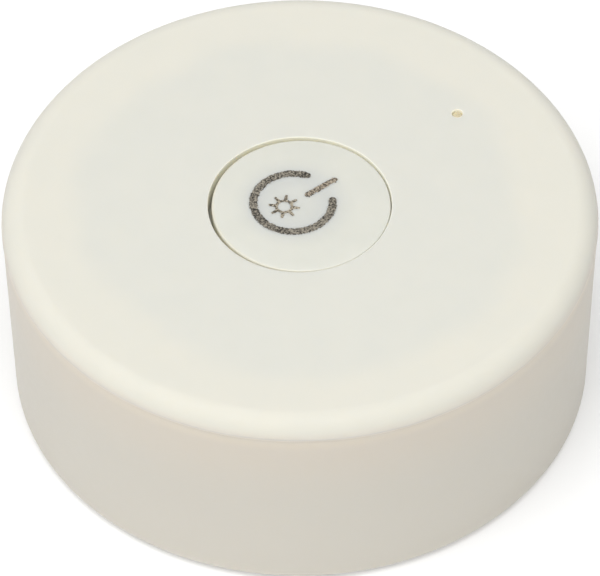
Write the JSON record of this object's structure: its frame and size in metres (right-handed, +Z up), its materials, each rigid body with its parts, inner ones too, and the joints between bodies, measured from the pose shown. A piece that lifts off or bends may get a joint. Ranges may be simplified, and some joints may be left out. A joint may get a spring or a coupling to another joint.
{
  "type": "wireless light-control button",
  "caption": "Round puck-shaped wireless light control with a push button flush in its top, an indicator pinhole, a twist-off battery door and rubber feet.",
  "frame": {"origin": "centre of the underside, on the plane that the feet stand on", "axes": "+Z up through the button, +Y from the centre to the indicator hole"},
  "size_m": [0.05, 0.05, 0.02],
  "materials": {
    "ivory_plastic": "satin, slightly translucent",
    "button_plastic": "satin, slightly translucent",
    "laser_mark": "speckled, burnt into the plastic",
    "light_pipe_plastic": "clear amber",
    "led_package": "gloss",
    "foot_rubber": "matte",
    "board_laminate": "solder mask",
    "black_plastic": "moulded",
    "plated_steel": "nickel plated",
    "copper": "etched track",
    "capacitor_ceramic": "fired ceramic",
    "tantalum_moulding": "moulded"
  },
  "bodies": {
    "case": {"top_cover": "ivory_plastic", "body_shell": "ivory_plastic", "light_pipe": "light_pipe_plastic", "indicator_led": "led_package", "main_board": "board_laminate", "case_screw_1": "plated_steel", "case_screw_2": "plated_steel", "case_screw_3": "plated_steel", "rubber_foot_1": "foot_rubber", "rubber_foot_2": "foot_rubber", "rubber_foot_3": "foot_rubber", "coin_cell": "plated_steel", "battery_holder": "black_plastic", "positive_contact": "plated_steel", "negative_contact": "plated_steel", "switch_base": "black_plastic", "switch_cover": "plated_steel", "switch_dome": "plated_steel", "switch_terminal_front": "plated_steel", "switch_terminal_rear": "plated_steel", "pairing_switch_base": "black_plastic", "radio_board": "board_laminate", "radio_shield": "plated_steel", "radio_antenna": "copper", "controller_chip": "black_plastic", "crystal_can": "plated_steel", "tantalum_capacitor": "tantalum_moulding", "power_coil": "black_plastic", "ceramic_capacitor_1": "capacitor_ceramic", "ceramic_capacitor_2": "capacitor_ceramic", "ceramic_capacitor_3": "capacitor_ceramic", "chip_resistor_1": "black_plastic", "chip_resistor_2": "black_plastic", "chip_resistor_3": "black_plastic"},
    "button": {"button_cap": "button_plastic"},
    "plunger": {"switch_plunger": "black_plastic"},
    "pairing_key": {"pairing_plunger": "black_plastic"},
    "door": {"battery_door": "ivory_plastic"}
  },
  "joints": [
    {"name": "button_press", "type": "slide", "parent": "case", "child": "button", "axis": [0, 0, -1], "range_m": [0, 0.0005], "stiffness_N_per_m": 3000},
    {"name": "switch_press", "type": "slide", "parent": "case", "child": "plunger", "axis": [0, 0, -1], "range_m": [0, 0.0005], "deforming": ["switch_dome"]},
    {"name": "pairing_press", "type": "slide", "parent": "case", "child": "pairing_key", "axis": [0, 0, 1], "range_m": [0, 0.0003], "stiffness_N_per_m": 1000},
    {"name": "door_turn", "type": "hinge", "parent": "case", "child": "door", "pos_m": [0, 0, 0.0015], "axis": [0, 0, -1], "range_deg": [0, 45]}
  ],
  "couplings": [
    {"joint": "switch_press", "follows": "button_press", "ratio": 1}
  ]
}
